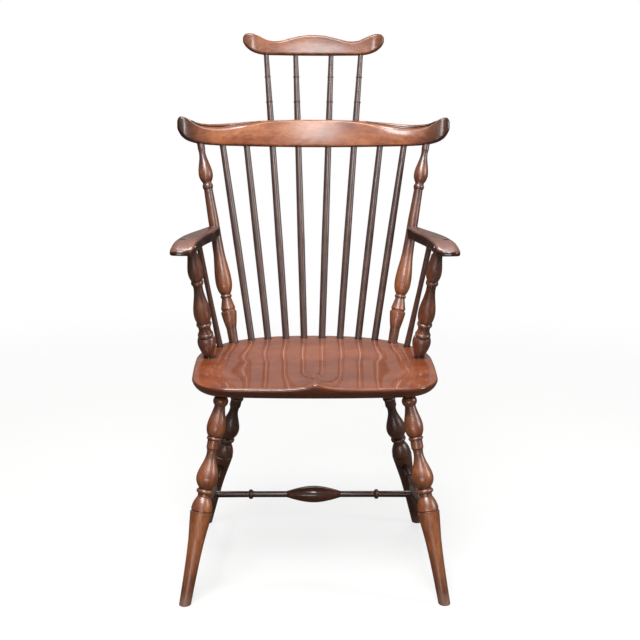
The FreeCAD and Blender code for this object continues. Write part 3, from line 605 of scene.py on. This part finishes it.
# The arms: maple sawn to a paddle and finished as the seat is. The top is rolled over by hand, most
# on the outer side, and slopes down in front. A small dark plug closes a screw hole in each.
ARM_STAIN = ("#572917", "#713b26", "#8a5136")
PLUG_STAIN = ("#140705", "#1d0b07", "#2a110a")
ARM_TOP = 699.0
ARM_THICKNESS = 23.0
# The right arm's line, from over its post to the back post
ARM_FRONT = (245.0, -101.1)
ARM_BACK = (214.9, 145.3)
# How far each roll reaches in from its edge and down from the top
OUTER_ROLL = (15.0, 7.0)
INNER_ROLL = (8.0, 5.5)
END_ROLL = (3.5, 2.5)
UNDER_ROLL = 3.5
UNDER_END_ROLL = 2.0
PLUG_BORE_R = 4.6
PLUG_BORE_DEPTH = 9.3
PLUG_BORE_FACETS = 40
SHARP_ANGLE = math.radians(50)
# The steps of the mesh: along each stretch of the plan, along the arm, and round its rolls
CURVE_STEPS = 40
ARM_SECTIONS = 190
FIRST_TURN = 0.02
ROLL_STEPS = 12
UNDER_ROLL_STEPS = 5
SLOPE_BLUR = 9
# The plan, along the arm's line and out from it
ARM_PLAN = (
    (-43, 4), (-47.5, 19), (-45.5, 31), (-35, 38.7), (-8, 41), (42, 43.5), (90, 42.5), (130, 37),
    (165, 29.5), (200, 22), (226, 16), (241, 10), (245, -1), (236, -12), (204, -13), (170, -12.5),
    (135, -9), (100, -5), (60, -4), (10, -5.5), (-20, -7.5), (-36, -5))
# How far the top has come down, and the underside up, at distances along the arm
ARM_SLOPE = ((-48, 11.2, 2.8), (-40, 9.6, 1.8), (-30, 7.2, 0.7), (-18, 4.6, 0), (-4, 2.2, 0),
             (12, 0.6, 0), (28, 0, 0))


def arm_sides():
    """The inner and outer side of the plan at distances along the arm, spaced closer at its ends."""
    points = np.array(ARM_PLAN, float)
    curve = []
    for index in range(len(points)):
        a, b, c, d = (points[(index + shift) % len(points)] for shift in (-1, 0, 1, 2))
        for step in range(CURVE_STEPS):
            t = step / CURVE_STEPS
            curve.append(0.5 * (2 * b + (c - a) * t + (2 * a - 5 * b + 4 * c - d) * t ** 2
                                + (3 * b - a - 3 * c + d) * t ** 3))
    curve = np.array(curve)
    front, back = curve[:, 0].argmin(), curve[:, 0].argmax()
    loop = np.concatenate([curve[front:], curve[:front]])
    turn = (back - front) % len(curve)
    outer, inner = loop[:turn + 1], loop[turn:][::-1]
    low, high = curve[front, 0], curve[back, 0]
    turns = np.linspace(FIRST_TURN, math.pi - FIRST_TURN, ARM_SECTIONS)
    along = (low + high) / 2 - (high - low) / 2 * np.cos(turns)
    return along, np.interp(along, inner[:, 0], inner[:, 1]), np.interp(along, outer[:, 0], outer[:, 1])


def arm_section(side_in, side_out, low, high):
    """The section of the arm between its sides, its underside and its top, with rolled edges."""
    width = side_out - side_in
    # No roll takes more than a share of a thin or narrow place
    under = min(UNDER_ROLL, 0.3 * width, 0.3 * (high - low))
    section = []
    for (reach, fall), side, sign in ((OUTER_ROLL, side_out, -1), (INNER_ROLL, side_in, 1)):
        reach = min(reach, 0.46 * width)
        fall = min(fall, 0.55 * (high - low))
        edge = []
        for step in range(UNDER_ROLL_STEPS + 1):
            angle = math.pi / 2 * step / UNDER_ROLL_STEPS
            edge.append((side + sign * under * (1 - math.sin(angle)),
                         low + under * (1 - math.cos(angle))))
        for step in range(ROLL_STEPS + 1):
            angle = math.pi / 2 * step / ROLL_STEPS
            edge.append((side + sign * reach * (1 - math.cos(angle)),
                         high - fall * (1 - math.sin(angle))))
        section += edge if sign < 0 else edge[::-1]
    return section


def arm_rings():
    """The cross-sections of the right arm, one after another along it."""
    front, back = Vector(ARM_FRONT), Vector(ARM_BACK)
    forward = (back - front).normalized()
    sideways = Vector((forward.y, -forward.x))
    along, inner, outer = arm_sides()
    slope = np.array(ARM_SLOPE)
    falls, lifts = (np.interp(along, slope[:, 0], slope[:, column]) for column in (1, 2))
    falls = np.pad(falls, SLOPE_BLUR // 2, mode="reflect", reflect_type="odd")
    falls = np.convolve(falls, np.ones(SLOPE_BLUR) / SLOPE_BLUR, mode="valid")
    rings = []
    for distance, side_in, side_out, fall, lift in zip(along, inner, outer, falls, lifts):
        from_end = min(distance - along[0], along[-1] - distance)
        over, under = (roll * (1 - math.sqrt(1 - (1 - min(1.0, from_end / reach)) ** 2))
                       for reach, roll in (END_ROLL, (UNDER_END_ROLL, UNDER_END_ROLL)))
        ring = []
        for aside, height in arm_section(side_in, side_out, lift + under, ARM_THICKNESS - fall - over):
            place = front + forward * distance + sideways * aside
            ring.append((place.x, place.y, ARM_TOP - ARM_THICKNESS + height))
        rings.append(ring)
    return rings


def bored(piece, centre, radius, top, depth):
    """A piece with a round hole bored down into it, for a plug."""
    cutter_mesh = bpy.data.meshes.new("plug_bore")
    whole = bmesh.new()
    bmesh.ops.create_cone(whole, cap_ends=True, segments=PLUG_BORE_FACETS, radius1=radius,
                          radius2=radius, depth=2 * depth, matrix=Matrix.Translation((*centre, top)))
    whole.to_mesh(cutter_mesh)
    whole.free()
    cutter = bpy.data.objects.new("plug_bore", cutter_mesh)
    bpy.context.scene.collection.objects.link(cutter)
    boring = piece.modifiers.new("boring", "BOOLEAN")
    boring.operation = "DIFFERENCE"
    boring.object = cutter
    shaped = bpy.data.meshes.new_from_object(piece.evaluated_get(bpy.context.evaluated_depsgraph_get()))
    piece.modifiers.remove(boring)
    bpy.data.objects.remove(cutter)
    piece.data = shaped
    shaped.name = piece.name
    shaped.set_sharp_from_angle(angle=SHARP_ANGLE)


right_rings = arm_rings()
for side, mirror in (("left_", -1), ("right_", 1)):
    rings = [[(mirror * x, y, z) for x, y, z in ring] for ring in right_rings]
    piece = skinned("rolled_" + side + "arm", rings)
    low, high = (Vector(corner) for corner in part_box(side + "arm_peg"))
    bored(piece, ((low.x + high.x) / 2, (low.y + high.y) / 2), PLUG_BORE_R * MM, ARM_TOP * MM,
          PLUG_BORE_DEPTH * MM)
    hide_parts(side + "arm")
    middle, along = axis_of(nodes[side + "arm"])
    # Painted shade on the arm's faces that turn away from up: its front, sides and underside
    finish_with(piece, stained_maple(
        "lacquered_maple_" + side + "arm", middle, along, ARM_STAIN, (40, 18), sides=0.88, gloss=0.14,
        waves=0.15, contrast=1.3))
    finish_with(nodes[side + "arm_peg"], stained_maple(
        "lacquered_maple_" + side + "arm_peg", (low + high) / 2, (1, 0, 0), PLUG_STAIN, gloss=0.5,
        coat=0.2))

# The lacquer fillets: where a turning enters its socket, glaze and lacquer gather in the corner and
# dry as a thin dark line round it. A line of painted shade in the same colour runs under the ledge
# of the crest rail.
FILLET_AND_LEDGE_SHADE_STAIN = ("#150805", "#200d08", "#2c130b")
FILLET_RADIUS = 0.8 * MM
FILLET_CLEAR = 0.4 * MM
PLUG_LINE_DEPTH = 0.1
LEDGE_SHADE_RADIUS = 1.3 * MM
LINE_POINTS = 28
SWEEP_FACETS = 8


def swept_lines(name, lines, radius, material, closed=True):
    """Lines swept with a round section by Geometry Nodes, as one plain mesh."""
    points = [point for line in lines for point in line]
    edges = []
    start = 0
    for line in lines:
        edges += [(start + step, start + (step + 1) % len(line))
                  for step in range(len(line) if closed else len(line) - 1)]
        start += len(line)
    mesh = bpy.data.meshes.new(name)
    mesh.from_pydata(points, edges, [])
    holder = bpy.data.objects.new(name + "_lines", mesh)
    bpy.context.scene.collection.objects.link(holder)
    tree = bpy.data.node_groups.new(name, "GeometryNodeTree")
    tree.interface.new_socket("Lines", in_out="INPUT", socket_type="NodeSocketGeometry")
    size = tree.interface.new_socket("Section Radius", in_out="INPUT", socket_type="NodeSocketFloat")
    facets = tree.interface.new_socket("Section Facets", in_out="INPUT", socket_type="NodeSocketInt")
    tree.interface.new_socket("Geometry", in_out="OUTPUT", socket_type="NodeSocketGeometry")
    given = add_node(tree, "NodeGroupInput")
    section = add_node(tree, "GeometryNodeCurvePrimitiveCircle", {}, {
        "Radius": given.outputs["Section Radius"], "Resolution": given.outputs["Section Facets"]})
    curves = add_node(tree, "GeometryNodeMeshToCurve", {}, {"Mesh": given.outputs["Lines"]})
    swept = add_node(tree, "GeometryNodeCurveToMesh", {"Fill Caps": not closed}, {
        "Curve": curves.outputs["Curve"], "Profile Curve": section.outputs["Curve"]})
    smooth = add_node(tree, "GeometryNodeSetShadeSmooth", {}, {"Geometry": swept.outputs["Mesh"]})
    real = add_node(tree, "GeometryNodeRealizeInstances", {}, {"Geometry": smooth.outputs["Geometry"]})
    coated = add_node(tree, "GeometryNodeSetMaterial", {"Material": material},
                      {"Geometry": real.outputs["Geometry"]})
    add_node(tree, "NodeGroupOutput", {}, {"Geometry": coated.outputs["Geometry"]})
    modifier = holder.modifiers.new("sweep", "NODES")
    modifier.node_group = tree
    modifier[size.identifier] = radius
    modifier[facets.identifier] = SWEEP_FACETS
    shaped = bpy.data.meshes.new_from_object(holder.evaluated_get(bpy.context.evaluated_depsgraph_get()))
    bpy.data.objects.remove(holder)
    whole = bmesh.new()
    whole.from_mesh(shaped)
    bmesh.ops.recalc_face_normals(whole, faces=whole.faces)
    whole.to_mesh(shaped)
    whole.free()
    shaped.name = name
    piece = bpy.data.objects.new(name, shaped)
    bpy.context.scene.collection.objects.link(piece)
    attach(piece, "root")


def circle(centre, along, radius):
    """Points round a circle that stands square to a direction."""
    one = along.orthogonal().normalized()
    two = along.cross(one)
    turns = [math.tau * step / LINE_POINTS for step in range(LINE_POINTS)]
    return [centre + (one * math.cos(turn) + two * math.sin(turn)) * radius for turn in turns]


def surface_of(name):
    """A piece's surface, for feeling where a line meets it."""
    mesh = bpy.data.objects[name].data
    return BVHTree.FromPolygons(
        [vertex.co for vertex in mesh.vertices], [face.vertices for face in mesh.polygons])


def socket_line(surface, turning, near, far, radius):
    """Where a turning's side meets a surface between two heights, from the end of any gap on."""
    middle, along = axis_of(turning)
    start = middle + along * ((near - middle.z) / along.z)
    toward = along if far > near else -along
    hits = [surface.ray_cast(place, toward, abs(far - near))[0]
            for place in circle(start, along, radius + FILLET_CLEAR)]
    gap = hits.index(None) if None in hits else 0
    return [hit for hit in hits[gap:] + hits[:gap] if hit]


# Each turning, what it enters, the heights between which it does and its radius there. An arm is so
# narrow over its post that the fillet there goes only part of the way round, as an open line.
JOINTS = (
    ("long_spindle_1", "seat", 470, 410, 7.6), ("long_spindle_2", "seat", 470, 410, 7.6),
    ("short_spindle_1", "seat", 470, 410, 7.6), ("short_spindle_2", "seat", 470, 410, 7.6),
    ("arm_spindle", "seat", 470, 410, 6.8), ("back_post", "seat", 470, 410, 10.3),
    ("arm_post", "seat", 470, 410, 11.0), ("front_leg", "seat", 390, 450, 11.0),
    ("rear_leg", "seat", 390, 450, 11.0), ("long_spindle_1", "crest_rail", 830, 890, 7.1),
    ("long_spindle_2", "crest_rail", 830, 890, 7.1), ("short_spindle_1", "crest_rail", 830, 890, 6.8),
    ("short_spindle_2", "crest_rail", 830, 890, 6.8), ("back_post", "crest_rail", 830, 890, 8.0),
    ("long_spindle_1", "crest_rail", 945, 885, 7.1), ("long_spindle_2", "crest_rail", 945, 885, 7.1),
    ("long_spindle_1", "comb", 1040, 1100, 5.5), ("long_spindle_2", "comb", 1040, 1100, 5.5),
    ("arm_spindle", "arm", 655, 680, 6.0), ("arm_post", "arm", 655, 680, 9.6))
surfaces = {"seat": surface_of("carved_seat"), "crest_rail": surface_of("moulded_crest_rail"),
            "comb": surface_of("moulded_comb")}
fillets = []
part_fillets = []
for side in ("left_", "right_"):
    low, high = (Vector(corner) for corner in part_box(side + "arm_peg"))
    plug_top = Vector(((low.x + high.x) / 2, (low.y + high.y) / 2,
                       (ARM_TOP - PLUG_LINE_DEPTH) * MM))
    fillets.append(circle(plug_top, Vector((0, 0, 1)), PLUG_BORE_R * MM))
for side in ("left_", "right_"):
    surfaces["arm"] = surface_of("rolled_" + side + "arm")
    for name, carrier, near, far, radius in JOINTS:
        line = socket_line(surfaces[carrier], nodes[side + name], near * MM, far * MM, radius * MM)
        (fillets if len(line) == LINE_POINTS else part_fillets).append(line)
lacquer_and_ledge_shade = stained_maple("lacquer_and_painted_ledge_shade", (0, 0, 0.45), (1, 0, 0), FILLET_AND_LEDGE_SHADE_STAIN, gloss=0.15)
swept_lines("lacquer_fillets", fillets, FILLET_RADIUS, lacquer_and_ledge_shade)
swept_lines("lacquer_part_fillets", part_fillets, FILLET_RADIUS, lacquer_and_ledge_shade, closed=False)
# Painted shade: a dark line at the foot of the crest rail's ledge
swept_lines("painted_shade_under_ledge", ledge_shade_lines, LEDGE_SHADE_RADIUS, lacquer_and_ledge_shade, closed=False)

# The rings on the long spindles: two small beads cut on each with the lathe, between the crest rail
# and the comb, and finished with the spindle.
BEAD_RADIUS = 1.3 * MM
BEADS_AT = ((960 * MM, 6.6 * MM), (1014 * MM, 5.9 * MM))
beads = []
for name in ("left_long_spindle_1", "left_long_spindle_2",
             "right_long_spindle_1", "right_long_spindle_2"):
    middle, along = axis_of(nodes[name])
    for height, reach in BEADS_AT:
        beads.append(circle(middle + along * ((height - middle.z) / along.z), along, reach))
swept_lines("spindle_rings", beads, BEAD_RADIUS, stained_maple(
    "lacquered_maple_rings", (0, 0, 1), (0, 0, 1), SPINDLE_STAIN, gloss=0.14))

# The floor: a plain studio sweep. Near the chair it is matt and pale and takes the soft shadow, and
# further off it runs into the white surround without an edge. The light that it throws back up is
# that of the dark ground that the chair was photographed on, so that undersides stay dark.
FLOOR_REACH = 14.0
SHADED_REACH = 1.1
FADE = 1.6
FLOOR_PAINT = "#f1f1ef"
DARK_GROUND = "#5a524b"
# How far the floor is lifted to white near the chair, where it still takes the shadow
NEAR_WHITE = 0.72
floor_mesh = bpy.data.meshes.new("floor")
floor_mesh.from_pydata([(x * FLOOR_REACH, y * FLOOR_REACH, 0)
                        for x, y in ((-1, -1), (1, -1), (1, 1), (-1, 1))], [], [(0, 1, 2, 3)])
floor = bpy.data.objects.new("floor", floor_mesh)
bpy.context.scene.collection.objects.link(floor)
paint = bpy.data.materials.new("matt_white_floor_paint")
paint.use_nodes = True
paint.node_tree.nodes.clear()
light_path = add_node(paint.node_tree, "ShaderNodeLightPath")
coords = add_node(paint.node_tree, "ShaderNodeTexCoord")
distance = add_node(paint.node_tree, "ShaderNodeVectorMath", {"operation": "LENGTH"},
                    {0: coords.outputs["Object"]})
faded = add_node(paint.node_tree, "ShaderNodeMapRange", {
    "interpolation_type": "SMOOTHSTEP", "From Min": SHADED_REACH, "From Max": SHADED_REACH + FADE},
    {"Value": distance.outputs["Value"]})
lifted = add_node(paint.node_tree, "ShaderNodeMapRange", {"To Min": NEAR_WHITE, "To Max": 1.0},
                  {"Value": faded.outputs["Result"]})
seen_share = add_node(paint.node_tree, "ShaderNodeMath", {"operation": "MULTIPLY"}, {
    0: lifted.outputs["Result"], 1: light_path.outputs["Is Camera Ray"]})
tint = add_node(paint.node_tree, "ShaderNodeMix", {
    "data_type": "RGBA", 6: linear(DARK_GROUND), 7: linear(FLOOR_PAINT)},
    {0: light_path.outputs["Is Camera Ray"]})
matt = add_node(paint.node_tree, "ShaderNodeBsdfDiffuse", {}, {"Color": tint.outputs[2]})
white = add_node(paint.node_tree, "ShaderNodeEmission", {"Color": (1, 1, 1, 1), "Strength": 1.0})
mixed = add_node(paint.node_tree, "ShaderNodeMixShader", {}, {
    0: seen_share.outputs["Value"], 1: matt.outputs["BSDF"], 2: white.outputs["Emission"]})
add_node(paint.node_tree, "ShaderNodeOutputMaterial", {}, {"Surface": mixed.outputs["Shader"]})
floor_mesh.materials.append(paint)

# The surround: white to the eye. To the chair it is a plain room, dim at the level of the eye and
# brighter overhead, so that the lacquer's rims stay dark, with a paler wall behind the chair, which
# gives level surfaces their sheen. The chair has no metal or glass that would need a white room.
ROOM_LEVEL = 0.05
ROOM_OVERHEAD = 0.34
WALL_LEVEL = 0.13
world = bpy.data.worlds.new("white_surround")
bpy.context.scene.world = world
world.use_nodes = True
world.node_tree.nodes.clear()
light_path = add_node(world.node_tree, "ShaderNodeLightPath")
coords = add_node(world.node_tree, "ShaderNodeTexCoord")
direction = add_node(world.node_tree, "ShaderNodeSeparateXYZ", {},
                     {"Vector": coords.outputs["Generated"]})
room = add_node(world.node_tree, "ShaderNodeMapRange", {
    "From Min": 0.0, "From Max": 1.0, "To Min": ROOM_LEVEL, "To Max": ROOM_OVERHEAD},
    {"Value": direction.outputs["Z"]})
wall = add_node(world.node_tree, "ShaderNodeMapRange", {
    "interpolation_type": "SMOOTHSTEP", "From Min": 0.2, "From Max": 0.95, "To Max": WALL_LEVEL},
    {"Value": direction.outputs["Y"]})
lit = add_node(world.node_tree, "ShaderNodeMath", {"operation": "ADD"}, {
    0: room.outputs["Result"], 1: wall.outputs["Result"]})
strength = add_node(world.node_tree, "ShaderNodeMix", {"data_type": "FLOAT", 3: 1.0}, {
    0: light_path.outputs["Is Camera Ray"], 2: lit.outputs["Value"]})
sky = add_node(world.node_tree, "ShaderNodeBackground", {"Color": (1, 1, 1, 1)},
               {"Strength": strength.outputs[0]})
add_node(world.node_tree, "ShaderNodeOutputWorld", {}, {"Surface": sky.outputs["Background"]})

# The lamps are soft boxes. The one overhead gives most of the light, and the front one stands close,
# where the crest rail mirrors it but the seat, seen from behind, doesn't. The low one draws upright
# highlights on the turnings, the side one lights the chair's right, and the rear one its top edges.
# Name, place, the point it faces, width and height in metres, and watts
LAMPS = (
    ("overhead_lamp", (-0.3, -1.4, 2.9), (0, 0, 0.65), (1.2, 1.1), 80),
    ("front_lamp", (0.0, -1.45, 1.49), (0, 0.15, 0.94), (0.28, 0.52), 6.6),
    ("low_lamp", (-0.35, -2.9, 0.22), (0, 0, 0.3), (1.5, 0.36), 13),
    ("side_lamp", (2.8, -0.9, 1.5), (0, 0, 0.6), (0.7, 1.3), 28),
    ("rear_lamp", (0.1, 1.6, 2.5), (0, 0, 0.75), (1.5, 0.7), 26))
for name, place, target, size, power in LAMPS:
    box = bpy.data.lights.new(name, "AREA")
    box.shape = "RECTANGLE"
    box.size, box.size_y = size
    box.energy = power
    lamp = bpy.data.objects.new(name, box)
    bpy.context.scene.collection.objects.link(lamp)
    lamp.location = place
    lamp.rotation_euler = (Vector(target) - Vector(place)).to_track_quat("-Z", "Y").to_euler()

# The camera stands where the photograph was taken from, a little to the left and looking down.
CAMERA_PLACE = (-0.0401, -2.6458, 1.1014)
CAMERA_PITCH = 12.0
CAMERA_YAW = -1.137
CAMERA_ROLL = 0.294
FOCAL_PX = 1287.0
IMAGE_PX = 640.0
CENTRE_ROW_PX = 310.4
camera_data = bpy.data.cameras.new("camera")
camera_data.sensor_width = 36.0
camera_data.lens = FOCAL_PX / IMAGE_PX * camera_data.sensor_width
camera_data.shift_y = (CENTRE_ROW_PX - IMAGE_PX / 2) / IMAGE_PX
camera = bpy.data.objects.new("camera", camera_data)
bpy.context.scene.collection.objects.link(camera)
camera.matrix_world = (
    Matrix.Translation(CAMERA_PLACE)
    @ Matrix.Rotation(math.radians(CAMERA_YAW), 4, "Z")
    @ Matrix.Rotation(math.radians(90 - CAMERA_PITCH), 4, "X")
    @ Matrix.Rotation(math.radians(CAMERA_ROLL), 4, "Z"))
bpy.context.scene.camera = camera
bpy.context.scene.view_settings.view_transform = "Standard"
